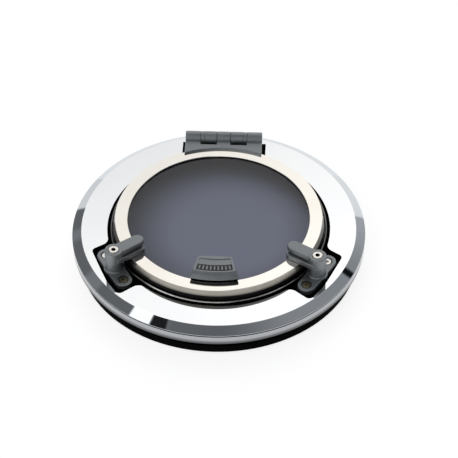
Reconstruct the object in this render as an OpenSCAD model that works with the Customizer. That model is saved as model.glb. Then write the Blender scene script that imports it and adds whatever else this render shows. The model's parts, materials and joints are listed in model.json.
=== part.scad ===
// Round opening port hatch, lying with its inside face up.
// Z is the axis of the round opening and starts at the outside face of the outer ring.
// The hinge is at +Y. The two clamp dogs are near the front, mirrored about X = 0.

/* [Overall] */
// Outside diameter of the trim ring
trim_d = 300; // [296:1:304]
// Height of the trim ring's flat face above the outside face
trim_z = 35; // [34:0.5:38]
// Clear opening through the frame
clear_d = 192; // [180:1:194]

/* [Outer ring] */
// Outside diameter of the outer ring, without its gasket
outer_d = 282; // [276:1:286]
// Thickness of the outer ring
outer_t = 5; // [4:0.5:6]
// Thickness of the hull gasket on the outer ring
hull_gasket_t = 4; // [3:0.5:5]
// How far the hull gasket wraps round the outer ring's edge
hull_gasket_lip = 2.5; // [1.5:0.25:3]
// Number of holes for hull screws
hull_hole_count = 8; // [6:1:12]
// Diameter of the circle of hull screw holes
hull_hole_pcd = 262; // [258:1:266]
// Diameter of a hull screw hole
hull_hole_d = 5.5; // [4.5:0.25:6]
// Number of screws that hold the outer ring to the spigot
ring_screw_count = 8; // [6:1:12]

/* [Main frame] */
// Outside diameter of the spigot, which passes through the hull
spigot_d = 238; // [236:0.5:240]
// Wall of the spigot
spigot_wall = 11; // [10:0.5:12]
// Height of the frame flange's hull face
flange_z = 18.4; // [17.5:0.1:19]
// Thickness of the frame flange
flange_t = 8.6; // [8:0.1:9]
// Height of the seal land under the lid seal
land_z = 30.5; // [30:0.25:31]
// Inside diameter of the collar around the lid
collar_d = 217; // [216:0.5:218]
// Wall of the collar
collar_wall = 2.4; // [2:0.1:3]
// Height of the collar's lip above the trim ring's flat face
collar_rise = 1.8; // [0.5:0.1:3]

/* [Trim ring] */
// Thickness of the trim ring's sheet
trim_t = 3; // [2:0.5:3.5]
// Width of the bevel around the trim ring
bevel_w = 9.5; // [8:0.5:10]
// Drop of the bevel from the flat face
bevel_drop = 5.2; // [4:0.1:6]
// Diameter of the round cut-out around the lid
cutout_d = 228; // [227:1:231]
// Radius of the blends between the cut-out and its pockets
cutout_blend = 9; // [6:0.5:10]

/* [Lid] */
// Outside diameter of the lid ring
lid_d = 215.4; // [214:0.2:216]
// Inside diameter of the lid ring's lip, where the lens shows
lens_show_d = 185.4; // [184:0.2:187]
// Rise of the lid ring's top above the trim ring's flat face
lid_rise = 13.3; // [13:0.1:14]
// Height of the lid ring's outer wall
lid_wall_h = 6.7; // [6:0.1:7]
// Width of the lid ring's outer wall
lid_wall_w = 5.9; // [5:0.1:6.2]
// Thickness of the lid ring's lip over the lens
lip_t = 1.2; // [1:0.1:1.4]
// Thickness of the lens
lens_t = 8.8; // [8:0.1:9]
// How far the lid ring's outer wall leans out towards its bottom
lid_draft = 2; // [1.8:0.1:2.2]

/* [Hinge] */
// Width of the hinge
hinge_w = 80.6; // [78:0.2:82]
// Diameter of the hinge barrel
barrel_d = 14.4; // [14:0.2:14.6]
// Distance from the opening's axis to the hinge pin
hinge_y = 120; // [119.5:0.1:120.5]
// Height of the hinge pin above the lid ring's top
hinge_rise = 0.9; // [0.8:0.1:1.2]
// Diameter of the hinge pin
pin_d = 6; // [5:0.5:7]
// Thickness of the lid leaf over the lid ring
leaf_t = 2.4; // [2.2:0.1:2.8]
// Half width of the lid leaf's middle knuckle
knuckle_mid = 7.1; // [6:0.1:7.2]
// Width of each frame knuckle
knuckle_frame = 13.4; // [12:0.1:14]

/* [Clamp dogs] */
// Distance from the opening's axis to a dog's pivot
pivot_r = 120.7; // [120:0.1:121]
// Angle of the right dog's pivot, measured from +X
pivot_angle = -32.7; // [-35:0.1:-30]
// Height of a dog's top above the trim ring's flat face
dog_rise = 26; // [25.5:0.1:27]
// Radius of a dog's boss
boss_r = 9; // [8.8:0.1:9.4]
// Reach of the tongue from its pivot to the centre of its round tip
tongue_reach = 28; // [26:0.1:28.5]
// Width of the tongue
tongue_w = 13.2; // [12:0.1:14]
// Reach of the lower prong from its pivot
prong_reach = 31.6; // [30:0.1:32]
// Width of the lower prong
prong_w = 20.6; // [19:0.1:21]
// Height of the prong's top below the dog's top
prong_drop = 7.2; // [6.8:0.1:8]
// Distance between the two base screws of a dog
base_pitch = 39.4; // [39:0.1:41]
// Radius of the base plate's round ends
base_end_r = 9.2; // [8.5:0.1:9.4]
// Rise of the base plate's top above the trim ring's flat face
base_rise = 1.6; // [0.5:0.1:2]
// Turn of the closed left dog towards the hinge, from pointing at the opening's axis
left_dog_turn = 5; // [-5:0.5:5]
// Turn of the closed right dog towards the hinge, from pointing at the opening's axis
right_dog_turn = -1; // [-5:0.5:5]

/* [Pull tab] */
// Radius of the tab's rear edge from the opening's axis
tab_rear_r = 67.6; // [67:0.1:69]
// Radius of the front edge of the tab's flat top
tab_front_r = 88.6; // [88:0.1:90]
// Radius of the tab's lip, its furthest edge from the opening's axis
tab_lip_r = 95.4; // [94:0.1:96]
// Half angle of the tab about the opening's axis
tab_half_angle = 14.9; // [14:0.1:15.5]
// Height of the tab's top above the lid ring's top
tab_rise = 8.7; // [8:0.1:9]
// Finger gap between the tab's lip and the lid ring
tab_gap = 3.6; // [3:0.1:4]

/* [Hidden] */
$fn = 96;
eps = 0.01;
soft_fn = 32;

// Running clearance between a bore and its pin, on radius
run_gap = 0.05;
// Gap between neighbouring knuckles
side_gap = 0.16;

trim_r = trim_d / 2;
flat_r = trim_r - bevel_w;
cutout_r = cutout_d / 2;
bevel_z = trim_z - bevel_drop;
skirt_t = 2;
skirt_inset = 0.3;
// Groove of the fold between the bevel and the skirt
fold_depth = 0.9;
fold_h = 2;
trim_under_z = trim_z - trim_t;
under_edge_r = flat_r - 0.5;
trim_blank_r = cutout_r - 20;
// Corners of the right dog's pocket, measured outward and towards the hinge from the dog's pivot
dog_pocket = [[7.4, 36], [13, 4], [15.4, -12], [14.6, -34.5], [-8, -31.8], [-32, -36], [-32, 37]];
dog_pocket_corner = 5;
outer_r = outer_d / 2;
ring_shank_r = 2.5;
ring_head_r = 5;
ring_head_h = 2.5;
ring_screw_l = 15;
gasket_lip_z = 0.5;
gasket_top_z = outer_t + hull_gasket_t;
clear_r = clear_d / 2;
spigot_r = spigot_d / 2;
bore_r = spigot_r - spigot_wall;
outer_ring_in_r = bore_r - 3;
ring_screw_r = spigot_r - spigot_wall / 2;
flange_top_z = flange_z + flange_t;
collar_r = collar_d / 2;
collar_top_z = trim_z + collar_rise;
land_bottom_z = land_z - 5;
frame_gasket_t = 2.4;
frame_gasket_z = flange_z - frame_gasket_t;
frame_outer_r = trim_r - skirt_t - 1;

lid_r = lid_d / 2;
lid_top_z = trim_z + lid_rise;
lid_wall_z = lid_top_z - lid_wall_h;
lid_wall_r = lid_r - lid_wall_w;
lid_top_r = lid_r - lid_draft;
lid_edge = 0.25;
lip_z = lid_top_z - lip_t;
lens_show_r = lens_show_d / 2;
bed_t = 0.7;
lens_r = lid_wall_r - bed_t;
lens_top_z = lip_z - bed_t;
lens_z = lens_top_z - lens_t;
seal_h = 3.5;
carrier_z = land_z + seal_h;
carrier_r = lid_wall_r + 3.4;
carrier_in_r = lens_show_r + 2;
carrier_step_r = lens_r + bed_t;
seal_in_r = clear_r + 2.5;
seal_out_r = seal_in_r + 5;
carrier_screw_r = (carrier_step_r + carrier_r) / 2;
carrier_head_r = 1.6;
carrier_shank_r = 1.1;
carrier_head_h = 1.4;
carrier_screw_count = 12;

barrel_r = barrel_d / 2;
pin_r = pin_d / 2;
hinge_z = lid_top_z + hinge_rise;
leaf_top_z = lid_top_z + leaf_t;
leaf_front_r = 102.4;
leaf_edge = 1.2;
knuckle_edge = 0.5;
leaf_bore_r = pin_r + 1.2;
leaf_root_r = lid_r + 0.3;
leaf_root_z = lid_wall_z + 1.5;
window_in = knuckle_mid;
window_out = window_in + 17.4;
window_front_y = 108;
frame_knuckle_x = knuckle_mid + side_gap;
hinge_pocket_x = hinge_w / 2 + 3.7;
hinge_pocket_y = hinge_y + barrel_r + 1.4;
foot_t = 3.4;
foot_front_y = 112.2;
foot_rear_y = hinge_y + barrel_r - 0.6;
foot_w = hinge_w - 2;
foot_screw_y = foot_front_y + 3.4;
foot_shank_r = 2;
foot_head_r = 3.2;
foot_head_h = 2.2;
foot_head_z = trim_under_z + foot_t - 1.6;
lid_leaf_screws = [-31, -15.8, 15.8, 31];
lid_leaf_screw_r = lid_wall_r + 2.45;
leaf_head_r = 2.4;
leaf_shank_r = 1;
frame_leaf_screws = [-31, 0, 31];

dog_top_z = trim_z + dog_rise;
base_top_z = trim_z + base_rise;
washer_t = 0.5;
dog_bottom_z = lid_top_z + 0.5;
tower_top_z = dog_bottom_z - washer_t;
tower_foot_r = 10;
tower_waist_r = 8.6;
// Centres of the base plate's round front and rear ends, from the dog's pivot
base_ends = [[0.6, -base_pitch / 2], [-1, base_pitch / 2]];
shoulder_r = 4;
cap_r = 5.3;
cap_h = 3.4;
cap_z = dog_top_z - 2.8;
hex_r = 2.2;
base_head_r = 4.7;
base_bore_r = 5.55;
base_head_h = 2.7;
base_shank_r = 2.5;
base_thread_z = flange_z + 1.6;
tongue_drop = 0.8;
tongue_t = 4.4;
slot_depth = 2.2;
pad_t = 1.6;
pad_r = 5.5;
pad_reach = pivot_r - (lid_r + lens_show_r) / 2;

tab_top_z = lid_top_z + tab_rise;
tab_lip_z = lid_top_z + tab_gap;
tab_shoulder_r = tab_front_r + 3.8;
tab_shoulder_z = tab_top_z - 1.9;
tab_side_slope = 0.9;
tab_foot_in_r = tab_rear_r + 3;
tab_foot_out_r = lens_show_r - 0.6;
tab_foot_half_angle = tab_half_angle - 0.6;
tab_panel_depth = 0.6;
tab_panel_half_angle = tab_half_angle - 2.3;
tab_panel_in_r = tab_rear_r + 2.6;
tab_panel_out_r = tab_front_r - 1.4;
tab_strip_in_r = tab_panel_out_r - 8.8;
tab_strip_t = 0.2;
tab_pad_t = 4.4;
tab_screw_shank_r = 1.6;
tab_screw_angle = 7.5;
tab_screw_r = (tab_foot_in_r + tab_foot_out_r) / 2;
tab_rib_count = 9;
tab_rib_pitch = 2.6;
tab_rib_w = 1.3;
tab_rib_l = 5;
tab_rib_root = 0.3;

steel = [0.82, 0.82, 0.8];
cream_steel = [0.93, 0.9, 0.84];
grey_satin = [0.46, 0.48, 0.49];
black_rubber = [0.08, 0.08, 0.09];
black_moulded = [0.13, 0.13, 0.14];
smoke = [0.3, 0.31, 0.38];
nylon = [0.85, 0.84, 0.8];

// ---- shared shapes ----

// Flat ring between two radii, from z0 to z1
module band(r_in, r_out, z0, z1) {
    translate([0, 0, z0])
        difference() {
            cylinder(r = r_out, h = z1 - z0);
            translate([0, 0, -1]) cylinder(r = r_in, h = z1 - z0 + 2);
        }
}

// Puts its children at count places round a circle of radius r, the first at angle a0
module around(count, r, a0 = 0) {
    for (i = [0 : count - 1])
        rotate([0, 0, a0 + i * 360 / count]) translate([r, 0, 0]) children();
}

// Countersunk screw with its flat head down at z = 0 and its shank up
module flat_screw(shank_r, head_r, head_h, length) {
    difference() {
        union() {
            cylinder(r1 = head_r, r2 = shank_r, h = head_h);
            cylinder(r = shank_r, h = length);
        }
        translate([0, 0, -1]) rotate([0, 0, 30]) cylinder(r = shank_r * 0.75, h = 1 + head_h * 0.6, $fn = 6);
    }
}

// Space for a flat_screw
module flat_screw_hole(shank_r, head_r, head_h, length) {
    translate([0, 0, -1]) cylinder(r = head_r, h = 1);
    cylinder(r1 = head_r, r2 = shank_r, h = head_h);
    cylinder(r = shank_r, h = length);
}

// Cylinder whose top edge is rounded by e, from z = 0 to h
module pebble(r, h, e) {
    steps = 4;
    rotate_extrude()
        polygon(concat([[0, 0], [r, 0]],
            [for (i = [0 : steps]) [r - e + e * cos(i * 90 / steps), h - e + e * sin(i * 90 / steps)]],
            [[0, h]]));
}

// Places its children at the right dog's pivot, +X pointing outward and +Y towards the hinge
module at_pivot() {
    rotate([0, 0, pivot_angle]) translate([pivot_r, 0, 0]) children();
}

// Sector of a ring, symmetric about -Y
module sector_2d(r_in, r_out, half_angle) {
    steps = 12;
    angles = [for (i = [-steps : steps]) -90 + i * half_angle / steps];
    polygon(concat(
        [for (a = angles) [r_out * cos(a), r_out * sin(a)]],
        [for (i = [len(angles) - 1 : -1 : 0]) [r_in * cos(angles[i]), r_in * sin(angles[i])]]));
}

// Rounds the corners of its 2D child
module round_2d(r) {
    offset(r = r, $fn = soft_fn) offset(delta = -r) children();
}

// ---- fixed frame ----

module outer_ring() {
    color(steel)
        difference() {
            band(outer_ring_in_r, outer_r, 0, outer_t);
            hull_screw_holes();
            around(ring_screw_count, ring_screw_r)
                flat_screw_hole(ring_shank_r, ring_head_r, ring_head_h, ring_screw_l);
        }
}

// Holes for the screws that go up into the hull, through the outer ring and its gasket
module hull_screw_holes() {
    around(hull_hole_count, hull_hole_pcd / 2, 180 / hull_hole_count)
        translate([0, 0, -1]) cylinder(d = hull_hole_d, h = gasket_top_z + 2);
}

module outer_ring_screws() {
    color(steel)
        around(ring_screw_count, ring_screw_r) flat_screw(ring_shank_r, ring_head_r, ring_head_h, ring_screw_l);
}

module hull_gasket() {
    color(black_rubber)
        difference() {
            union() {
                band(spigot_r, outer_r + hull_gasket_lip, outer_t, gasket_top_z);
                band(outer_r, outer_r + hull_gasket_lip, gasket_lip_z, outer_t + eps);
            }
            hull_screw_holes();
        }
}

module frame_gasket() {
    color(black_rubber) band(spigot_r, frame_outer_r, frame_gasket_z, flange_z);
}

module spigot_tube() {
    color(steel)
        difference() {
            band(bore_r, spigot_r, outer_t, flange_z);
            around(ring_screw_count, ring_screw_r) cylinder(r = ring_shank_r, h = ring_screw_l);
        }
}

// Outline of a dog's base plate, used for the plate and for the pad under it
module base_outline_2d() {
    hull()
        for (end = base_ends) translate(end) circle(r = base_end_r);
}

module main_frame() {
    color(steel)
        difference() {
            union() {
                band(bore_r, frame_outer_r, flange_z, flange_top_z);
                band(clear_r, collar_r + eps, land_bottom_z, land_z);
                collar();
                translate([0, 0, flange_top_z - eps])
                    linear_extrude(trim_under_z - flange_top_z + eps) pads_2d();
            }
            for (m = [0, 1]) mirror([m, 0, 0]) at_pivot() base_bolt_holes();
            for (x = frame_leaf_screws)
                translate([x, foot_screw_y, base_thread_z]) cylinder(r = foot_shank_r, h = 30);
        }
}

// Wall round the lid, with a round top
module collar() {
    steps = 8;
    bead_r = collar_wall / 2;
    rotate_extrude()
        polygon(concat(
            [[collar_r, flange_top_z - eps]],
            [[collar_r + collar_wall, flange_top_z - eps]],
            [for (i = [0 : steps]) [collar_r + bead_r + bead_r * cos(i * 180 / steps),
                                    collar_top_z - bead_r + bead_r * sin(i * 180 / steps)]]));
}

// Threaded holes for a dog's two base screws
module base_bolt_holes() {
    for (end = base_ends)
        translate([end.x, end.y, base_thread_z]) cylinder(r = base_shank_r, h = 30);
}

// Raised pads under the dog bases and the hinge foot
module pads_2d() {
    for (m = [0, 1]) mirror([m, 0, 0]) at_pivot() base_outline_2d();
    translate([-foot_w / 2, foot_front_y]) square([foot_w, foot_rear_y - foot_front_y]);
}

// Thin gasket that fills the space under the trim ring and shows in its pockets
module trim_underlay() {
    color(black_rubber)
        difference() {
            band(collar_r + collar_wall, under_edge_r, flange_top_z, trim_under_z);
            translate([0, 0, flange_top_z - 1]) linear_extrude(10) pads_2d();
        }
}

// Whole opening in the trim ring, with blended inside corners
module cutout_2d() {
    offset(r = -cutout_blend, $fn = 96) offset(delta = cutout_blend)
        union() {
            circle(r = cutout_r, $fn = 180);
            for (m = [0, 1]) mirror([m, 0, 0]) at_pivot() round_2d(dog_pocket_corner) polygon(dog_pocket);
        }
    translate([-hinge_pocket_x, 0]) square([2 * hinge_pocket_x, hinge_pocket_y]);
}

module trim_ring() {
    color(steel)
        difference() {
            rotate_extrude()
                polygon([
                    [trim_blank_r, trim_z], [flat_r, trim_z], [trim_r, bevel_z], [trim_r, bevel_z - 0.6],
                    [trim_r - fold_depth, bevel_z - 0.9], [trim_r - fold_depth, bevel_z - fold_h],
                    [trim_r - skirt_inset, bevel_z - fold_h - 0.3], [trim_r - skirt_inset, flange_z],
                    [trim_r - skirt_t, flange_z], [trim_r - skirt_t, bevel_z - 1.2],
                    [under_edge_r, trim_under_z], [trim_blank_r, trim_under_z]
                ]);
            translate([0, 0, trim_under_z - 2]) linear_extrude(trim_t + 4) cutout_2d();
        }
}

// ---- hinge, frame side ----

// Piece of the hinge barrel from x0 to x1, with its end edges broken
module knuckle(x0, x1, r_hole) {
    length = x1 - x0;
    translate([x0, hinge_y, hinge_z]) rotate([0, 90, 0])
        difference() {
            union() {
                cylinder(r1 = barrel_r - knuckle_edge, r2 = barrel_r, h = knuckle_edge);
                translate([0, 0, knuckle_edge]) cylinder(r = barrel_r, h = length - 2 * knuckle_edge);
                translate([0, 0, length - knuckle_edge])
                    cylinder(r1 = barrel_r, r2 = barrel_r - knuckle_edge, h = knuckle_edge);
            }
            translate([0, 0, -1]) cylinder(r = r_hole, h = length + 2);
        }
}

module hinge_frame_leaf() {
    arm_y = 8;
    color(grey_satin)
        difference() {
            union() {
                for (s = [-1, 1]) {
                    x0 = s < 0 ? -frame_knuckle_x - knuckle_frame : frame_knuckle_x;
                    knuckle(x0, x0 + knuckle_frame, pin_r);
                    difference() {
                        translate([x0, hinge_y - arm_y / 2, trim_under_z])
                            cube([knuckle_frame, arm_y, hinge_z - trim_under_z]);
                        translate([x0 - 1, hinge_y, hinge_z]) rotate([0, 90, 0])
                            cylinder(r = barrel_r - 1, h = knuckle_frame + 2);
                    }
                }
                translate([-foot_w / 2, foot_front_y, trim_under_z])
                    cube([foot_w, foot_rear_y - foot_front_y, foot_t]);
            }
            for (x = frame_leaf_screws)
                translate([x, foot_screw_y, 0]) {
                    cylinder(r = foot_shank_r, h = 60);
                    translate([0, 0, foot_head_z]) cylinder(r = foot_head_r, h = 10);
                }
        }
}

module hinge_frame_screws() {
    color(steel)
        for (x = frame_leaf_screws)
            translate([x, foot_screw_y, 0]) {
                translate([0, 0, base_thread_z])
                    cylinder(r = foot_shank_r, h = foot_head_z - base_thread_z + eps);
                translate([0, 0, foot_head_z])
                    difference() {
                        cylinder(r = foot_head_r, h = foot_head_h);
                        translate([0, 0, 1]) cylinder(r = 1.3, h = foot_head_h, $fn = 6);
                    }
            }
}

module hinge_pin() {
    color(steel)
        translate([-hinge_w / 2 + 1, hinge_y, hinge_z]) rotate([0, 90, 0]) cylinder(r = pin_r, h = hinge_w - 2);
}

// ---- dog bases and their fixings, drawn for the right side ----

module latch_base() {
    color(grey_satin)
        difference() {
            union() {
                translate([0, 0, trim_under_z])
                    hull()
                        for (end = base_ends)
                            translate(end)
                                pebble(base_end_r, base_top_z - trim_under_z, 0.9, $fn = soft_fn);
                rotate_extrude() tower_profile();
            }
            for (end = base_ends)
                translate(end) {
                    cylinder(r = base_shank_r, h = 60);
                    translate([0, 0, base_top_z - base_head_h]) cylinder(r = base_bore_r, h = 20);
                }
            cylinder(r = shoulder_r, h = 80);
            translate([-pivot_r, 0, 0]) cylinder(r = collar_r + collar_wall + 0.2, h = collar_top_z + 0.2);
        }
}

// Half section of the tower, with a cove where it meets the plate
module tower_profile() {
    cove = tower_foot_r - tower_waist_r + 0.6;
    steps = 6;
    polygon(concat(
        [[0, trim_under_z], [tower_foot_r, trim_under_z]],
        [for (i = [0 : steps]) [tower_waist_r + cove * (1 - sin(i * 90 / steps)),
                                base_top_z - 0.4 + cove * (1 - cos(i * 90 / steps))]],
        [[tower_waist_r, tower_top_z - 0.3], [tower_waist_r - 0.3, tower_top_z], [0, tower_top_z]]));
}

module base_screws() {
    color(cream_steel)
        for (end = base_ends)
            translate(end) {
                translate([0, 0, base_thread_z])
                    cylinder(r = base_shank_r, h = base_top_z - base_head_h - base_thread_z + eps);
                translate([0, 0, base_top_z - base_head_h])
                    difference() {
                        cylinder(r1 = base_head_r, r2 = base_head_r - 0.5, h = base_head_h - 0.5);
                        translate([0, 0, 0.8]) cylinder(r = 1.7, h = 5, $fn = 6);
                    }
            }
}

module pivot_washer() {
    color(nylon) band(shoulder_r, tower_waist_r - 0.3, tower_top_z, dog_bottom_z);
}

module pivot_screw() {
    color(cream_steel)
        difference() {
            union() {
                translate([0, 0, trim_under_z]) cylinder(r = shoulder_r, h = cap_z - trim_under_z + eps);
                translate([0, 0, cap_z])
                    rotate_extrude()
                        polygon([[0, 0], [cap_r, 0], [cap_r, cap_h - 0.8], [cap_r - 0.25, cap_h - 0.3],
                                 [cap_r - 0.8, cap_h], [0, cap_h]]);
            }
            translate([0, 0, cap_z + 1]) cylinder(r = hex_r, h = 10, $fn = 6);
        }
}

// ---- dogs, drawn for the right side ----

module dog() {
    prong_end = 3;
    prong_h = dog_top_z - prong_drop - dog_bottom_z;
    color(grey_satin)
        difference() {
            union() {
                translate([0, 0, dog_bottom_z]) pebble(boss_r, dog_top_z - dog_bottom_z, 0.9);
                translate([0, 0, dog_top_z - tongue_drop - tongue_t])
                    hull() {
                        pebble(tongue_w / 2 + 0.6, tongue_t, 1.1, $fn = soft_fn);
                        translate([-tongue_reach, 0, 0]) pebble(tongue_w / 2, tongue_t, 1.1, $fn = soft_fn);
                    }
                translate([0, 0, dog_top_z - prong_drop - 1]) linear_extrude(prong_drop - tongue_drop - 1) neck_2d();
                translate([0, 0, dog_bottom_z])
                    hull()
                        for (s = [-1, 1]) {
                            translate([-prong_reach + prong_end, s * (prong_w / 2 - prong_end), 0])
                                pebble(prong_end, prong_h, 0.9, $fn = soft_fn);
                            translate([0, s * (boss_r - prong_end + 0.4), 0])
                                pebble(prong_end, prong_h, 0.9, $fn = soft_fn);
                        }
            }
            cylinder(r = shoulder_r + run_gap, h = 100);
            translate([0, 0, cap_z - run_gap]) cylinder(r = cap_r + 0.3, h = 20);
            translate([-pad_reach, 0, 0]) cylinder(r = pad_r, h = dog_bottom_z + pad_t - 0.5);
        }
}

// Outline of the neck that joins the tongue to the prong and leaves a slot round it
module neck_2d() {
    neck_r = tongue_w / 2 - slot_depth;
    translate([-tongue_reach, 0]) circle(r = neck_r, $fn = soft_fn);
    translate([-tongue_reach, -neck_r]) square([tongue_reach, 2 * neck_r]);
}

module dog_pad() {
    color(nylon) translate([-pad_reach, 0, lid_top_z]) cylinder(r = pad_r, h = pad_t);
}

// ---- lid ----

module lid_ring() {
    color(cream_steel)
        difference() {
            rotate_extrude()
                polygon([
                    [lens_show_r, lip_z], [lens_show_r, lid_top_z - 0.4], [lens_show_r + 0.4, lid_top_z],
                    [lid_top_r - lid_edge, lid_top_z], [lid_top_r, lid_top_z - lid_edge],
                    [lid_r, lid_wall_z + 0.5], [lid_r - 0.5, lid_wall_z],
                    [lid_wall_r, lid_wall_z], [lid_wall_r, lip_z]
                ]);
            lid_leaf_screw_space(leaf_shank_r, leaf_head_r, 2.2);
            around(carrier_screw_count, carrier_screw_r, 15) cylinder(r = carrier_shank_r, h = lid_wall_z + 3.5);
        }
}

// Space for the screws that hold the lid leaf, entered from under the lid ring
module lid_leaf_screw_space(shank, head, head_h) {
    for (x = lid_leaf_screws)
        translate([x, lid_leaf_screw_y(x), 0]) {
            cylinder(r = shank, h = leaf_top_z - 0.5);
            cylinder(r = head, h = lid_wall_z + head_h);
        }
}

function lid_leaf_screw_y(x) = sqrt(lid_leaf_screw_r * lid_leaf_screw_r - x * x);

// Black ring that carries the lens from below and holds the seal
module lid_carrier() {
    color(black_moulded)
        difference() {
            union() {
                band(carrier_in_r, carrier_r, carrier_z, lens_z);
                band(carrier_step_r, carrier_r, lens_z - eps, lid_wall_z);
            }
            around(carrier_screw_count, carrier_screw_r, 15) {
                cylinder(r = carrier_shank_r, h = 60);
                cylinder(r = carrier_head_r, h = carrier_z + carrier_head_h);
            }
            for (x = lid_leaf_screws)
                translate([x, lid_leaf_screw_y(x), 0]) cylinder(r = leaf_head_r, h = 60);
        }
}

module carrier_screws() {
    color(steel)
        around(carrier_screw_count, carrier_screw_r, 15) {
            translate([0, 0, carrier_z + 0.2]) cylinder(r = carrier_head_r, h = carrier_head_h - 0.2);
            translate([0, 0, carrier_z + 0.2]) cylinder(r = carrier_shank_r, h = lid_wall_z + 3 - carrier_z);
        }
}

module lens() {
    color(smoke)
        difference() {
            translate([0, 0, lens_z]) cylinder(r = lens_r, h = lens_t);
            tab_screw_holes();
        }
}

// Soft bedding round the lens edge and under the ring's lip
module lens_bedding() {
    color(black_rubber) {
        difference() {
            band(lens_show_r + 0.4, carrier_step_r, lens_z, lip_z);
            translate([0, 0, lens_z - 1]) cylinder(r = lens_r, h = lens_t + 1);
        }
    }
}

module lid_seal() {
    lobe = 1.4;
    color(black_rubber)
        rotate_extrude()
            polygon([[seal_in_r, carrier_z], [seal_in_r, land_z + lobe], [seal_in_r + lobe, land_z],
                     [seal_out_r - lobe, land_z], [seal_out_r, land_z + lobe], [seal_out_r, carrier_z]]);
}

// Lid leaf before its windows and bores: a plate with a hollow front edge that follows the lid ring
module leaf_plate() {
    steps = 4;
    intersection() {
        translate([-hinge_w / 2, 0, leaf_root_z]) cube([hinge_w, hinge_y, leaf_top_z - leaf_root_z]);
        rotate_extrude()
            polygon(concat(
                [[leaf_front_r, 0]],
                [for (i = [0 : steps]) [leaf_front_r + leaf_edge - leaf_edge * cos(i * 90 / steps),
                                        leaf_top_z - leaf_edge + leaf_edge * sin(i * 90 / steps)]],
                [[200, leaf_top_z], [200, 0]]));
    }
}

module hinge_lid_leaf() {
    color(grey_satin)
        difference() {
            union() {
                difference() {
                    leaf_plate();
                    translate([0, 0, -1]) cylinder(r = leaf_root_r, h = lid_top_z + 1);
                    for (s = [0, 1]) mirror([s, 0, 0])
                        translate([window_in, window_front_y, 0]) cube([window_out - window_in, 40, 100]);
                    translate([-100, hinge_y, hinge_z]) rotate([0, 90, 0]) cylinder(r = barrel_r - 1, h = 200);
                }
                knuckle(-hinge_w / 2, -window_out, leaf_bore_r);
                knuckle(-knuckle_mid, knuckle_mid, leaf_bore_r);
                knuckle(window_out, hinge_w / 2, leaf_bore_r);
            }
            lid_leaf_screw_space(leaf_shank_r, 0.1, 0);
        }
}

module hinge_lid_screws() {
    color(steel)
        for (x = lid_leaf_screws)
            translate([x, lid_leaf_screw_y(x), lid_wall_z - 0.2]) {
                cylinder(r = leaf_head_r, h = 2.4);
                cylinder(r = leaf_shank_r, h = leaf_top_z - 0.7 - lid_wall_z);
            }
}

// Spacer rings beside the frame knuckles
module hinge_spacers() {
    x0 = frame_knuckle_x + knuckle_frame;
    color(grey_satin)
        for (s = [0, 1]) mirror([s, 0, 0])
            translate([x0, hinge_y, hinge_z]) rotate([0, 90, 0])
                difference() {
                    cylinder(r = barrel_r - 0.2, h = window_out - side_gap - x0);
                    translate([0, 0, -1]) cylinder(r = pin_r, h = 20);
                }
}

// Plain bushes that line the lid leaf's knuckles
module hinge_bushes() {
    color(nylon)
        for (span = [[-hinge_w / 2 + 1, -window_out], [-knuckle_mid, knuckle_mid], [window_out, hinge_w / 2 - 1]])
            translate([span[0], hinge_y, hinge_z]) rotate([0, 90, 0])
                difference() {
                    cylinder(r = leaf_bore_r, h = span[1] - span[0]);
                    translate([0, 0, -1]) cylinder(r = pin_r + run_gap, h = span[1] - span[0] + 2);
                }
}

// ---- pull tab ----

module tab_screw_holes() {
    for (s = [-1, 1])
        rotate([0, 0, -90 + s * tab_screw_angle]) translate([tab_screw_r, 0, 0])
            cylinder(r = tab_screw_shank_r, h = tab_lip_z + 2);
}

module pull_tab() {
    color(grey_satin) tab_ribs(tab_panel_depth - 0.1);
    color(grey_satin)
        difference() {
            union() {
                translate([0, 0, lens_top_z + tab_pad_t])
                    linear_extrude(tab_lip_z - lens_top_z - tab_pad_t + eps)
                        sector_2d(tab_foot_in_r, tab_foot_out_r, tab_foot_half_angle);
                hull() {
                    translate([0, 0, tab_top_z - 0.4])
                        linear_extrude(0.4) round_2d(1.6)
                            sector_2d(tab_rear_r + 0.4, tab_front_r, tab_half_angle - tab_side_slope);
                    translate([0, 0, tab_shoulder_z - 0.4])
                        linear_extrude(0.4) round_2d(1.6)
                            sector_2d(tab_rear_r, tab_shoulder_r, tab_half_angle - tab_side_slope / 2);
                    translate([0, 0, tab_lip_z])
                        linear_extrude(1) round_2d(1.6) sector_2d(tab_rear_r, tab_lip_r, tab_half_angle);
                }
            }
            translate([0, 0, tab_top_z - tab_panel_depth])
                linear_extrude(5) round_2d(0.8) sector_2d(tab_panel_in_r, tab_panel_out_r, tab_panel_half_angle);
            tab_screw_holes();
        }
}

// Ribs that stand up through the slots of the tab's insert
module tab_ribs(h) {
    strip_mid_r = (tab_strip_in_r + tab_panel_out_r) / 2;
    for (i = [0 : tab_rib_count - 1])
        rotate([0, 0, -90 + (i - (tab_rib_count - 1) / 2) * tab_rib_pitch])
            translate([strip_mid_r - tab_rib_l / 2, -tab_rib_w / 2, tab_top_z - tab_panel_depth - tab_rib_root])
                cube([tab_rib_l, tab_rib_w, h + tab_rib_root]);
}

// Black strip in the front half of the tab's recess, slotted for the tab's ribs
module pull_tab_insert() {
    color(black_moulded)
        difference() {
            translate([0, 0, tab_top_z - tab_panel_depth])
                linear_extrude(tab_strip_t)
                    sector_2d(tab_strip_in_r, tab_panel_out_r - 0.1, tab_panel_half_angle - 0.3);
            translate([0, 0, -1]) tab_ribs(5);
        }
}

module pull_tab_pad() {
    color(black_rubber)
        difference() {
            translate([0, 0, lens_top_z])
                linear_extrude(tab_pad_t)
                    sector_2d(tab_foot_in_r - 0.4, tab_foot_out_r + 0.3, tab_foot_half_angle + 0.3);
            tab_screw_holes();
        }
}

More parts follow.
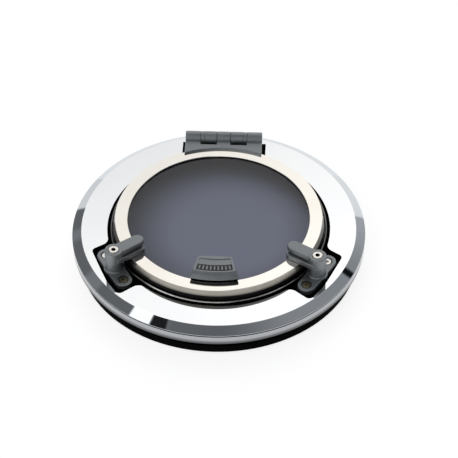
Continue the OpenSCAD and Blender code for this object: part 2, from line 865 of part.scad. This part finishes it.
module pull_tab_screws() {
    color(steel)
        for (s = [-1, 1])
            rotate([0, 0, -90 + s * tab_screw_angle]) translate([tab_screw_r, 0, lens_z - 2]) {
                cylinder(r = 3, h = 2);
                cylinder(r = tab_screw_shank_r, h = tab_lip_z + 2 - lens_z);
            }
}

// ---- both sides ----

module right_side() { at_pivot() children(); }
module left_side() { mirror([1, 0, 0]) at_pivot() children(); }

outer_ring();
outer_ring_screws();
hull_gasket();
frame_gasket();
spigot_tube();
main_frame();
trim_underlay();
trim_ring();
hinge_frame_leaf();
hinge_frame_screws();
hinge_pin();
hinge_spacers();
right_side() latch_base();  // latch_base_right
left_side() latch_base();  // latch_base_left
right_side() base_screws();  // base_screws_right
left_side() base_screws();  // base_screws_left
right_side() pivot_washer();  // pivot_washer_right
left_side() pivot_washer();  // pivot_washer_left
right_side() pivot_screw();  // pivot_screw_right
left_side() pivot_screw();  // pivot_screw_left
right_side() rotate([0, 0, -right_dog_turn]) dog();  // dog_right
left_side() rotate([0, 0, -left_dog_turn]) dog();  // dog_left
right_side() rotate([0, 0, -right_dog_turn]) dog_pad();  // dog_pad_right
left_side() rotate([0, 0, -left_dog_turn]) dog_pad();  // dog_pad_left
lid_ring();
lid_carrier();
carrier_screws();
lens();
lens_bedding();
lid_seal();
hinge_lid_leaf();
hinge_lid_screws();
hinge_bushes();
pull_tab();
pull_tab_insert();
pull_tab_pad();
pull_tab_screws();
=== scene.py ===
"""Round opening port hatch, lying on a pale floor with its inside face up."""

import json
import math

import bpy
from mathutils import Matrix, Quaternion, Vector


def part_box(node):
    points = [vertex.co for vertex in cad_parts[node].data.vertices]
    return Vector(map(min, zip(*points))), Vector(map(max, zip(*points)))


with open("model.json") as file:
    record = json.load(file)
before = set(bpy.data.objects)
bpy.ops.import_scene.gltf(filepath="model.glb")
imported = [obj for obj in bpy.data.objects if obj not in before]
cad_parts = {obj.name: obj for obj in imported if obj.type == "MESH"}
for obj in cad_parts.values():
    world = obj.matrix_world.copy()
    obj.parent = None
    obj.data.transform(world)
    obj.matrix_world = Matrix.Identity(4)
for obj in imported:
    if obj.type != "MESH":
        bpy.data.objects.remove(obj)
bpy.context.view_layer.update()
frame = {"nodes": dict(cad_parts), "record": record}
NODES = frame["nodes"]
MM = 0.001

# ---- places that the frame gives ----

TRIM_LOW, TRIM_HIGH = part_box("trim_ring")
LID_LOW, LID_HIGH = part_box("lid_ring")
TRIM_TOP = TRIM_HIGH.z
TRIM_RADIUS = TRIM_HIGH.x
LID_TOP = LID_HIGH.z
# The trim ring's bevel drops this far to its outer edge, and the collar stands this far outside the lid ring
BEVEL_DROP = 5.2 * MM
COLLAR_GAP = 0.8 * MM
BEVEL_LOW = TRIM_TOP - BEVEL_DROP
COLLAR_RADIUS = LID_HIGH.x + COLLAR_GAP
# Heights where the trim ring's look changes. The fold is a groove just under the bevel, above the skirt. The
# bevel, the fold and the skirt are painted darker than the flat as painted shade, and the skirt is darker
# still below SKIRT_FADE.
BEVEL_START = TRIM_TOP - 0.2 * MM
FOLD_TOP = BEVEL_LOW - 0.5 * MM
FOLD_FOOT = BEVEL_LOW - 2.15 * MM
SKIRT_FADE = TRIM_LOW.z + 3.25 * MM
# Heights where the lid ring's top ends and where the painted shade on its wall deepens
LID_EDGE = LID_TOP - 0.45 * MM
LID_FOOT = LID_LOW.z + 1.5 * MM
# The collar's painted highlight lies in front of this, along Y, and what is inside this radius is painted
# dark as painted shade under the lid
COLLAR_FRONT = -88.5 * MM
COLLAR_INSIDE = COLLAR_RADIUS - 0.7 * MM

# ---- camera ----

CAMERA_AZIMUTH = math.radians(3.2)
CAMERA_ELEVATION = math.radians(43.67)
CAMERA_ROLL = math.radians(-0.4)
CAMERA_DISTANCE = 2.2563
CAMERA_LENS = 173.3
CAMERA_SENSOR = 36
CAMERA_CLIP = (0.05, 20)
# How far the middle of the picture lies right of and above the middle of the trim ring's top
AIM_RIGHT = 10.5 * MM
AIM_UP = -2.91 * MM


def direction(azimuth, elevation):
    """Unit vector from the object. Azimuth is from the camera's side, -Y, towards +X, in radians."""
    flat = math.cos(elevation)
    return Vector((math.sin(azimuth) * flat, -math.cos(azimuth) * flat, math.sin(elevation)))


def make_camera():
    """Camera that frames the hatch as the photograph does."""
    data = bpy.data.cameras.new("camera")
    data.lens = CAMERA_LENS
    data.sensor_width = CAMERA_SENSOR
    data.clip_start, data.clip_end = CAMERA_CLIP
    camera = bpy.data.objects.new("camera", data)
    bpy.context.scene.collection.objects.link(camera)
    centre = Vector((0, 0, TRIM_TOP))
    back = direction(CAMERA_AZIMUTH, CAMERA_ELEVATION)
    right = Vector((math.cos(CAMERA_AZIMUTH), math.sin(CAMERA_AZIMUTH), 0))
    up = back.cross(right)
    camera.location = centre + back * CAMERA_DISTANCE
    aim = centre + right * AIM_RIGHT + up * AIM_UP
    look = (aim - camera.location).to_track_quat("-Z", "Y")
    camera.rotation_mode = "QUATERNION"
    camera.rotation_quaternion = look @ Quaternion((0, 0, 1), CAMERA_ROLL)
    bpy.context.scene.camera = camera


# ---- light and floor ----

# The studio is a world of soft patches of light. Azimuth is from the back, +Y, towards +X, in degrees.
# Each patch is (azimuth, elevation, half its width, half its height, softness of its edge, brightness).
# The backdrop has no single brightness. It is the product of three of the changes below.
BACKDROP = (-1, 14, 34.5, 50, 0.6)
SOFT_BOX = (-98.2, 59, 6.4, 5.5, 0.8, 1.6)
BLACK_FLAG = (-110.8, 64, 6, 4.5, 1.2, 0.02)
BLACK_SPOT = (58.5, 37.5, 1.6, 2.2, 0.8, 0.01)
LEFT_STRIPS = ((-45.8, 20.5, 2.2, 4, 1.5, 0.27), (-67.5, 39.5, 4, 5, 1.5, 0.27))
# The two patches on the camera's side have their azimuth from the front, -Y, towards +X
LEFT_FILL = (-34, 38, 46, 24, 8, 0.85)
RIGHT_SHADE = (46, 12, 36, 42, 5, 0.03)
# Each change of brightness is (start, end, value at the start, value at the end), with angles in degrees
CEILING_OVER_X = (0.0, 0.55, 0.18, 0.36)
SIDE_GLOW_OVER_AZIMUTH = (56, 35, 0.0, 0.19)
SIDE_GLOW_RISE = (0, 20, 0, 1)
BACKDROP_OVER_ELEVATION = (14, 40, 0.99, 0.9)
SHEEN_OVER_ELEVATION = (41, 45.5, 0.98, 1.16)
SHEEN_OVER_AZIMUTH = (-7, 1, 0.95, 1.09)
# Dim light is bluish, and it turns white over this range of brightness
DIM_TINT = (0.94, 0.965, 1.0, 1)
BRIGHT_TINT = (1.0, 1.0, 1.0, 1)
TINT_OVER_BRIGHTNESS = (0.6, 0.98, 0, 1)

FLOOR_SIZE = 12
FLOOR_GREY = 0.3
FLOOR_CLOUD = 0.01
# The floor glows evenly outside the hatch. Under the hatch the glow is left out, which paints shade there;
# the glow rises from 0 between these radii.
FLOOR_GLOW = 0.86
FLOOR_GLOW_RADII = (0.8 * TRIM_RADIUS, 0.97 * TRIM_RADIUS)
# A round patch of floor under the lens glows as a painted pool of light, as if light came in through the
# lens, and fades out between these radii
LENS_GLOW = 0.6
LENS_GLOW_CENTRE = (8 * MM, 26 * MM)
LENS_GLOW_RADII = (60 * MM, 106 * MM)


class WorldNodes:
    """Small helper that builds the world's brightness from directions."""

    def __init__(self, tree):
        self.tree = tree

    def calc(self, operation, a, b=None):
        node = self.tree.nodes.new("ShaderNodeMath")
        node.operation = operation
        for index, value in enumerate((a, b)):
            if isinstance(value, (int, float)):
                node.inputs[index].default_value = value
            elif value is not None:
                self.tree.links.new(value, node.inputs[index])
        return node.outputs[0]

    def ramp(self, value, start, end, low, high):
        """Smooth change from low at start to high at end."""
        node = self.tree.nodes.new("ShaderNodeMapRange")
        node.interpolation_type = "SMOOTHSTEP"
        for name, number in (("From Min", start), ("From Max", end), ("To Min", low), ("To Max", high)):
            node.inputs[name].default_value = number
        self.tree.links.new(value, node.inputs["Value"])
        return node.outputs["Result"]

    def turn(self, angle, change):
        """Smooth change over an angle, with the change's own angles in degrees."""
        start, end, low, high = change
        return self.ramp(angle, math.radians(start), math.radians(end), low, high)

    def span(self, value, middle, half, soft):
        """1 within half of the middle and 0 outside, with a soft edge, in degrees."""
        away = self.calc("ABSOLUTE", self.calc("SUBTRACT", value, math.radians(middle)))
        return self.ramp(away, math.radians(half - soft), math.radians(half + soft), 1, 0)

    def patch(self, azimuth, elevation, shape):
        """1 inside a patch of directions and 0 outside."""
        across, up, half_width, half_height, soft = shape[:5]
        width = self.span(azimuth, across, half_width, soft)
        return self.calc("MULTIPLY", width, self.span(elevation, up, half_height, soft))

    def lay(self, under, mask, brightness):
        """Brightness over what is under it, where the mask is 1."""
        clear = self.calc("MULTIPLY", under, self.calc("SUBTRACT", 1.0, mask))
        return self.calc("ADD", clear, self.calc("MULTIPLY", mask, brightness))


def make_world():
    """Soft studio: a white backdrop, a dim ceiling, and on the camera's side light from the left only."""
    world = bpy.data.worlds.new("studio")
    bpy.context.scene.world = world
    world.use_nodes = True
    tree = world.node_tree
    tree.nodes.clear()
    out = tree.nodes.new("ShaderNodeOutputWorld")
    background = tree.nodes.new("ShaderNodeBackground")
    tree.links.new(background.outputs[0], out.inputs["Surface"])
    split = tree.nodes.new("ShaderNodeSeparateXYZ")
    tree.links.new(tree.nodes.new("ShaderNodeTexCoord").outputs["Generated"], split.inputs[0])
    x, y, z = split.outputs
    sky = WorldNodes(tree)
    elevation = sky.calc("ARCSINE", z)
    azimuth = sky.calc("ARCTAN2", x, y)
    from_front = sky.calc("ARCTAN2", x, sky.calc("MULTIPLY", y, -1.0))

    ceiling = sky.ramp(x, *CEILING_OVER_X)
    glow = sky.calc("MULTIPLY", sky.turn(azimuth, SIDE_GLOW_OVER_AZIMUTH), sky.turn(azimuth, SIDE_GLOW_RISE))
    around = sky.calc("ADD", ceiling, glow)
    sheen_up = sky.turn(elevation, SHEEN_OVER_ELEVATION)
    sheen = sky.calc("MULTIPLY", sheen_up, sky.turn(azimuth, SHEEN_OVER_AZIMUTH))
    backdrop = sky.calc("MULTIPLY", sky.turn(elevation, BACKDROP_OVER_ELEVATION), sheen)
    total = sky.lay(around, sky.patch(azimuth, elevation, BACKDROP), backdrop)
    for shape in (RIGHT_SHADE, LEFT_FILL):
        total = sky.lay(total, sky.patch(from_front, elevation, shape), shape[-1])
    for shape in (*LEFT_STRIPS, SOFT_BOX, BLACK_FLAG, BLACK_SPOT):
        total = sky.lay(total, sky.patch(azimuth, elevation, shape), shape[-1])
    tree.links.new(total, background.inputs["Strength"])
    tint = tree.nodes.new("ShaderNodeMix")
    tint.data_type = "RGBA"
    tree.links.new(sky.ramp(total, *TINT_OVER_BRIGHTNESS), tint.inputs["Factor"])
    tint.inputs[6].default_value = DIM_TINT
    tint.inputs[7].default_value = BRIGHT_TINT
    tree.links.new(tint.outputs[2], background.inputs["Color"])


def make_floor():
    """Grey floor that glows like a lit white sweep outside the hatch, with painted shade under the hatch and
    a painted pool of light under its lens.
    """
    bpy.ops.mesh.primitive_plane_add(size=FLOOR_SIZE)
    floor = bpy.context.object
    floor.name = "floor"
    paint = Material("floor_paint")
    shader = paint.principled(base=(FLOOR_GREY,) * 3, roughness=0.6)
    shader.inputs["Emission Color"].default_value = (1, 1, 1, 1)
    outside = paint.spread(paint.radius(), 0, FLOOR_GLOW, *FLOOR_GLOW_RADII)
    # Painted light: the glow is cut under the hatch as painted shade, and a patch under the lens is a
    # painted pool of light.
    inside = paint.spread(paint.radius(LENS_GLOW_CENTRE), LENS_GLOW, 0, *LENS_GLOW_RADII)
    paint.drive(shader, "Emission Strength", paint.math("ADD", outside, inside))
    dark, light = (FLOOR_GREY - FLOOR_CLOUD,) * 3, (FLOOR_GREY + FLOOR_CLOUD,) * 3
    paint.drive(shader, "Base Color", paint.mix(paint.noise(3.0, detail=2), dark, light))
    floor.data.materials.append(paint.material)


# ---- materials ----

# Scales of noise, in cells per metre
HAZE_SCALE = 22
SMUDGE_SCALE = 70
TURNED_LINES = 900
COLLAR_LINES = 1400
TOOL_MARKS = 1500


class Material:
    """Small helper that builds a node material in the object's own coordinates, in metres."""

    def __init__(self, name):
        self.material = bpy.data.materials.new(name)
        self.material.use_nodes = True
        self.tree = self.material.node_tree
        self.tree.nodes.clear()
        self.output = self.add("ShaderNodeOutputMaterial")
        self.coord = self.add("ShaderNodeTexCoord").outputs["Object"]

    def add(self, kind, **values):
        node = self.tree.nodes.new(kind)
        for key, value in values.items():
            setattr(node, key, value)
        return node

    def link(self, source, target):
        self.tree.links.new(source, target)

    def principled(self, base, roughness, metallic=0.0, **sockets):
        shader = self.add("ShaderNodeBsdfPrincipled")
        shader.inputs["Base Color"].default_value = (*base, 1)
        shader.inputs["Roughness"].default_value = roughness
        shader.inputs["Metallic"].default_value = metallic
        for key, value in sockets.items():
            shader.inputs[key.replace("_", " ")].default_value = value
        self.link(shader.outputs[0], self.output.inputs["Surface"])
        return shader

    def drive(self, shader, socket, source):
        self.link(source, shader.inputs[socket])

    def noise(self, scale, detail=4, rough=0.5, stretch=None, vector=None):
        """Noise value from 0 to 1. scale is in cells per metre."""
        texture = self.add("ShaderNodeTexNoise")
        texture.inputs["Scale"].default_value = scale
        texture.inputs["Detail"].default_value = detail
        texture.inputs["Roughness"].default_value = rough
        vector = vector or self.coord
        if stretch:
            mapping = self.add("ShaderNodeMapping")
            mapping.inputs["Scale"].default_value = stretch
            self.link(vector, mapping.inputs["Vector"])
            vector = mapping.outputs[0]
        self.link(vector, texture.inputs["Vector"])
        return texture.outputs["Fac"]

    def spread(self, value, low, high, start=0.3, end=0.7):
        """Stretches a value from start..end to low..high."""
        node = self.add("ShaderNodeMapRange")
        node.inputs["From Min"].default_value = start
        node.inputs["From Max"].default_value = end
        node.inputs["To Min"].default_value = low
        node.inputs["To Max"].default_value = high
        self.link(value, node.inputs["Value"])
        return node.outputs["Result"]

    def over(self, value, limit, soft):
        """1 where the value is over the limit and 0 where it is under, with an edge of soft on each side."""
        return self.spread(value, 0, 1, limit - soft, limit + soft)

    def under(self, value, limit, soft):
        """1 where the value is under the limit and 0 where it is over, with an edge of soft on each side."""
        return self.spread(value, 1, 0, limit - soft, limit + soft)

    def mix(self, factor, colour_a, colour_b):
        """Colour a where the factor is 0 and colour b where it is 1. Each is a tuple or a node's output."""
        node = self.add("ShaderNodeMix", data_type="RGBA")
        self.link(factor, node.inputs["Factor"])
        for socket, colour in ((6, colour_a), (7, colour_b)):
            if isinstance(colour, tuple):
                node.inputs[socket].default_value = (*colour, 1)
            else:
                self.link(colour, node.inputs[socket])
        return node.outputs[2]

    def math(self, operation, a, b=None):
        node = self.add("ShaderNodeMath", operation=operation)
        for index, value in enumerate((a, b)):
            if value is None:
                continue
            if isinstance(value, (int, float)):
                node.inputs[index].default_value = value
            else:
                self.link(value, node.inputs[index])
        return node.outputs[0]

    def radius(self, centre=(0, 0), mirrored=False):
        """Distance from a vertical axis, by default the opening's, or from it and its mirror image."""
        place = self.coord
        if mirrored:
            fold = self.add("ShaderNodeVectorMath", operation="MULTIPLY")
            fold.inputs[1].default_value = (1, 0, 0)
            self.link(self.coord, fold.inputs[0])
            right = self.add("ShaderNodeVectorMath", operation="ABSOLUTE")
            self.link(fold.outputs[0], right.inputs[0])
            rest = self.add("ShaderNodeVectorMath", operation="MULTIPLY_ADD")
            rest.inputs[1].default_value = (0, 1, 1)
            self.link(self.coord, rest.inputs[0])
            self.link(right.outputs[0], rest.inputs[2])
            place = rest.outputs[0]
        flat = self.add("ShaderNodeVectorMath", operation="MULTIPLY_ADD")
        self.link(place, flat.inputs[0])
        flat.inputs[1].default_value = (1, 1, 0)
        flat.inputs[2].default_value = (-centre[0], -centre[1], 0)
        length = self.add("ShaderNodeVectorMath", operation="LENGTH")
        self.link(flat.outputs[0], length.inputs[0])
        return length.outputs["Value"]

    def across(self, axis):
        """Coordinate along one axis. Along Z it is the height above the outer ring's outside face."""
        split = self.add("ShaderNodeSeparateXYZ")
        self.link(self.coord, split.inputs[0])
        return split.outputs[axis]

    def edge(self, width):
        """1 on a sharp edge and 0 on a flat face, where the rounded and the true normal agree."""
        bevel = self.add("ShaderNodeBevel", samples=4)
        bevel.inputs["Radius"].default_value = width
        plain = self.add("ShaderNodeNewGeometry")
        dot = self.add("ShaderNodeVectorMath", operation="DOT_PRODUCT")
        self.link(bevel.outputs[0], dot.inputs[0])
        self.link(plain.outputs["Normal"], dot.inputs[1])
        return self.spread(dot.outputs["Value"], 1, 0, 0.8, 0.995)

    def bump(self, shader, height, strength, distance):
        node = self.add("ShaderNodeBump")
        node.inputs["Strength"].default_value = strength
        node.inputs["Distance"].default_value = distance
        self.link(height, node.inputs["Height"])
        self.link(node.outputs[0], shader.inputs["Normal"])


def polish_haze(m):
    """Faint clouds over polished steel, from 0 to 1."""
    return m.spread(m.noise(HAZE_SCALE, detail=5, rough=0.6), 0, 1, 0.42, 0.75)


def smudges(m, low, high, start=0.45, end=0.8):
    """Roughness of polished steel, low where it is clean and high where it has been touched."""
    return m.spread(m.noise(SMUDGE_SCALE, detail=6, rough=0.65), low, high, start, end)


def turned_lines(m, shader, strength, scale=TURNED_LINES):
    """Fine lines round the axis, as a lathe or a polishing wheel leaves them."""
    combine = m.add("ShaderNodeCombineXYZ")
    m.link(m.math("MULTIPLY", m.radius(), scale), combine.inputs[0])
    m.bump(shader, m.noise(1, detail=2, vector=combine.outputs[0]), strength, 0.02 * MM)


def tool_marks(m, shader):
    """Faint marks of a cutting tool on a screw."""
    m.bump(shader, m.noise(TOOL_MARKS, detail=3), 0.1, 0.03 * MM)


def polished(name, tint, shade, roughness):
    """Mirror-polished steel with faint turned lines, haze and smudges."""
    m = Material(name)
    shader = m.principled(tint, roughness, metallic=1.0)
    m.drive(shader, "Base Color", m.mix(polish_haze(m), tint, shade))
    m.drive(shader, "Roughness", smudges(m, roughness, roughness * 2.4))
    turned_lines(m, shader, 0.035)
    return m.material


def trim_polish(name):
    """The trim ring's mirror polish: a bright flat, and painted shade that darkens the bevel, makes the
    fold's groove near black and darkens the rougher skirt towards its foot.
    """
    m = Material(name)
    flat, flat_haze = (0.95, 0.955, 0.96), (0.92, 0.93, 0.95)
    # Painted shade: the bevel, the fold and the skirt are darker copies of the flat's polish.
    bevel, bevel_haze = (0.615, 0.645, 0.67), (0.58, 0.61, 0.64)
    skirt_shade_top, skirt_shade_foot = (0.42, 0.43, 0.45), (0.13, 0.135, 0.14)
    fold = (0.015, 0.017, 0.02)
    shader = m.principled(flat, 0.012, metallic=1.0)
    height, haze = m.across("Z"), polish_haze(m)
    in_bevel = m.under(height, BEVEL_START, soft=0.1 * MM)
    below_bevel = m.under(height, FOLD_TOP, soft=0.1 * MM)
    in_fold = m.math("MULTIPLY", below_bevel, m.over(height, FOLD_FOOT, soft=0.15 * MM))
    skirt = m.mix(m.over(height, SKIRT_FADE, soft=1.75 * MM), skirt_shade_foot, skirt_shade_top)
    top = m.mix(in_bevel, m.mix(haze, flat, flat_haze), m.mix(haze, bevel, bevel_haze))
    m.drive(shader, "Base Color", m.mix(below_bevel, top, m.mix(in_fold, skirt, fold)))
    polish = smudges(m, 0.012, 0.03, 0.5, 0.85)
    m.drive(shader, "Roughness", m.math("ADD", polish, m.math("MULTIPLY", below_bevel, 0.15)))
    turned_lines(m, shader, 0.012)
    return m.material


def lid_polish(name):
    """The lid ring: a creamy mirror polish on top and a rougher brushed wall painted darker as painted
    shade, darkest at its foot.
    """
    m = Material(name)
    cream, deep = (0.96, 0.925, 0.86), (0.93, 0.88, 0.80)
    # Painted shade: the wall is a darker copy of the top's polish, and darker still at its foot.
    wall_shade_top, wall_shade_foot = (0.36, 0.345, 0.305), (0.14, 0.13, 0.11)
    shader = m.principled(cream, 0.06, metallic=1.0)
    height = m.across("Z")
    in_wall = m.under(height, LID_EDGE, soft=0.15 * MM)
    at_foot = m.under(height, LID_FOOT, soft=1.1 * MM)
    top = m.mix(polish_haze(m), cream, deep)
    m.drive(shader, "Base Color", m.mix(in_wall, top, m.mix(at_foot, wall_shade_top, wall_shade_foot)))
    m.drive(shader, "Roughness", m.math("ADD", smudges(m, 0.05, 0.13), m.math("MULTIPLY", in_wall, 0.15)))
    turned_lines(m, shader, 0.035)
    return m.material


def collar_steel(name):
    """The main frame: a collar with a painted highlight along the front and painted shade elsewhere, and
    painted near black under the lid as painted shade.
    """
    m = Material(name)
    # Painted light: a painted highlight along the front, and painted shade on the rest of the collar and
    # under the lid.
    bright, collar_shade, dark = (0.80, 0.79, 0.75), (0.16, 0.16, 0.155), (0.03, 0.03, 0.032)
    shader = m.principled(bright, 0.16, metallic=1.0)
    cloud = m.noise(300, detail=4, rough=0.65)
    at_front = m.under(m.across("Y"), COLLAR_FRONT, soft=4.5 * MM)
    painted_highlight = m.math("MULTIPLY", at_front, m.spread(cloud, 1, 0.55, 0.35, 0.7))
    inside = m.under(m.radius(), COLLAR_INSIDE, soft=0.5 * MM)
    m.drive(shader, "Base Color", m.mix(inside, m.mix(painted_highlight, collar_shade, bright), dark))
    m.drive(shader, "Roughness", m.math("ADD", m.spread(cloud, 0.12, 0.22), m.math("MULTIPLY", inside, 0.4)))
    turned_lines(m, shader, 0.05, COLLAR_LINES)
    return m.material


def satin_alloy(name):
    """Bead-blasted grey casting, lighter where its edges are rubbed."""
    m = Material(name)
    dark, middle, light = (0.275, 0.293, 0.303), (0.32, 0.335, 0.345), (0.345, 0.363, 0.373)
    rubbed = (0.5, 0.51, 0.52)
    shader = m.principled(middle, 0.5, metallic=1.0)
    cloud = m.noise(90, detail=5, rough=0.6)
    body = m.mix(m.spread(cloud, 0, 1, 0.3, 0.72), dark, light)
    rub = m.math("MULTIPLY", m.edge(0.8 * MM), m.spread(m.noise(260, detail=4), 0.25, 0.9, 0.35, 0.65))
    m.drive(shader, "Base Color", m.mix(rub, body, rubbed))
    m.drive(shader, "Roughness", m.spread(cloud, 0.46, 0.58, 0.3, 0.7))
    m.bump(shader, m.noise(2600, detail=3, rough=0.7), 0.2, 0.05 * MM)
    return m.material


def rubber(name):
    """Matte black rubber with a little dust."""
    m = Material(name)
    base, dusty = (0.001, 0.001, 0.0011), (0.003, 0.003, 0.0033)
    shader = m.principled(base, 0.85, Specular_IOR_Level=0.03)
    dust = m.noise(120, detail=5, rough=0.7)
    m.drive(shader, "Base Color", m.mix(m.spread(dust, 0, 1, 0.5, 0.85), base, dusty))
    m.drive(shader, "Roughness", m.spread(dust, 0.8, 0.95))
    m.bump(shader, m.noise(1800, detail=2), 0.2, 0.05 * MM)
    return m.material


def moulded(name, base, roughness):
    """Moulded plastic with a fine spark-eroded grain."""
    m = Material(name)
    shader = m.principled(base, roughness)
    cloud = m.noise(60, detail=4)
    darker, lighter = (tuple(factor * channel for channel in base) for factor in (0.85, 1.2))
    m.drive(shader, "Base Color", m.mix(cloud, darker, lighter))
    m.drive(shader, "Roughness", m.spread(cloud, roughness * 0.85, roughness * 1.15))
    m.bump(shader, m.noise(1400, detail=2, rough=0.7), 0.25, 0.05 * MM)
    return m.material


def machined(name, light, dark, roughness):
    """Screw metal with fine turned marks and darker patches at random."""
    m = Material(name)
    shader = m.principled(light, roughness, metallic=0.95)
    cloud = m.noise(500, detail=4, rough=0.65)
    m.drive(shader, "Base Color", m.mix(m.spread(cloud, 0, 1, 0.35, 0.7), light, dark))
    m.drive(shader, "Roughness", m.spread(cloud, roughness * 0.8, roughness * 1.4))
    tool_marks(m, shader)
    return m.material


def socket_steel(name):
    """The pivot screws: a bright machined cap round a socket painted near black, as painted shade in its
    depth.
    """
    m = Material(name)
    # Painted shade: the near-black colour inside the socket radii stands in for the shade in the socket.
    light, shade, socket_shade = (0.93, 0.89, 0.84), (0.82, 0.77, 0.72), (0.012, 0.007, 0.004)
    socket_radii = (2.15 * MM, 2.4 * MM)
    shader = m.principled(light, 0.22, metallic=0.95)
    cloud = m.noise(500, detail=4, rough=0.65)
    low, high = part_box("pivot_screw_right")
    axis = ((low.x + high.x) / 2, (low.y + high.y) / 2)
    on_cap = m.spread(m.radius(axis, mirrored=True), 0, 1, *socket_radii)
    cap = m.mix(m.spread(cloud, 0, 1, 0.35, 0.7), light, shade)
    m.drive(shader, "Base Color", m.mix(on_cap, socket_shade, cap))
    m.drive(shader, "Roughness", m.spread(on_cap, 0.7, 0.24, 0, 1))
    tool_marks(m, shader)
    return m.material


def base_screw_steel(name):
    """The base screws: the rear ones bright, the front ones painted darker and browner as painted shade from
    the dogs over them.
    """
    m = Material(name)
    low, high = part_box("base_screws_right")
    middle = (low.y + high.y) / 2
    shader = m.principled((0.6, 0.56, 0.5), 0.3, metallic=0.95)
    cloud = m.spread(m.noise(500, detail=4, rough=0.65), 0, 1, 0.35, 0.7)
    # Painted shade: the front screws get a darker, browner copy of the rear screws' colour.
    clean = m.mix(cloud, (0.9, 0.87, 0.83), (0.7, 0.66, 0.62))
    front_shade = m.mix(cloud, (0.36, 0.31, 0.22), (0.16, 0.13, 0.085))
    m.drive(shader, "Base Color", m.mix(m.over(m.across("Y"), middle, soft=MM), front_shade, clean))
    m.drive(shader, "Roughness", m.spread(cloud, 0.25, 0.42, 0, 1))
    tool_marks(m, shader)
    return m.material


def smoked_acrylic(name):
    """Smoked acrylic: a glossy face over a hazy grey-blue body that blurs what is under it."""
    m = Material(name)
    tint, paler = (0.165, 0.18, 0.255), (0.175, 0.19, 0.27)
    shader = m.principled(tint, 0.3, IOR=1.49, Transmission_Weight=1.0, Specular_IOR_Level=0.12,
                          Coat_Weight=0.1, Coat_Roughness=0.03)
    haze = m.noise(35, detail=5, rough=0.6)
    m.drive(shader, "Base Color", m.mix(m.spread(haze, 0, 1, 0.35, 0.75), tint, paler))
    wipe = m.noise(40, detail=6, rough=0.7, stretch=(1, 4, 1))
    m.drive(shader, "Roughness", m.spread(wipe, 0.28, 0.36, 0.45, 0.8))
    return m.material


def paint_nodes():
    """Gives each piece the material of its slot, or its own where it differs from the rest of its slot."""
    by_slot = {
        "grey_alloy": satin_alloy("satin_grey_alloy"),
        "black_rubber": rubber("black_rubber"),
        "black_moulded": moulded("black_moulded", (0.022, 0.022, 0.024), 0.5),
        "nylon": moulded("natural_nylon", (0.62, 0.6, 0.55), 0.45),
        "polished_steel": polished("polished_steel", (0.80, 0.81, 0.82), (0.70, 0.71, 0.72), 0.06),
        "polished_trim": trim_polish("polished_trim"),
        "lid_steel": lid_polish("polished_lid"),
        "screw_steel": machined("screw_bronze", (0.42, 0.38, 0.29), (0.26, 0.23, 0.17), 0.35),
        "pivot_steel": socket_steel("pivot_screw_steel"),
        "frame_steel": collar_steel("frame_steel"),
        "smoked_lens": smoked_acrylic("smoked_acrylic"),
    }
    base_screw = base_screw_steel("base_screw_steel")
    by_node = {
        "base_screws_left": base_screw,
        "base_screws_right": base_screw,
        # Painted shade: the spigot's polish is painted dark, for the shade inside the bore under the lid.
        "spigot_tube": polished("spigot_steel_painted_shade", (0.10, 0.10, 0.105), (0.07, 0.07, 0.075), 0.3),
    }
    for part in frame["record"]["subparts"]:
        piece = NODES[part["node"]]
        piece.data.materials.clear()
        piece.data.materials.append(by_node.get(part["node"], by_slot[part["material_slot"]]))


# ---- scene ----

make_camera()
make_world()
make_floor()
paint_nodes()
bpy.context.scene.view_settings.view_transform = "Standard"
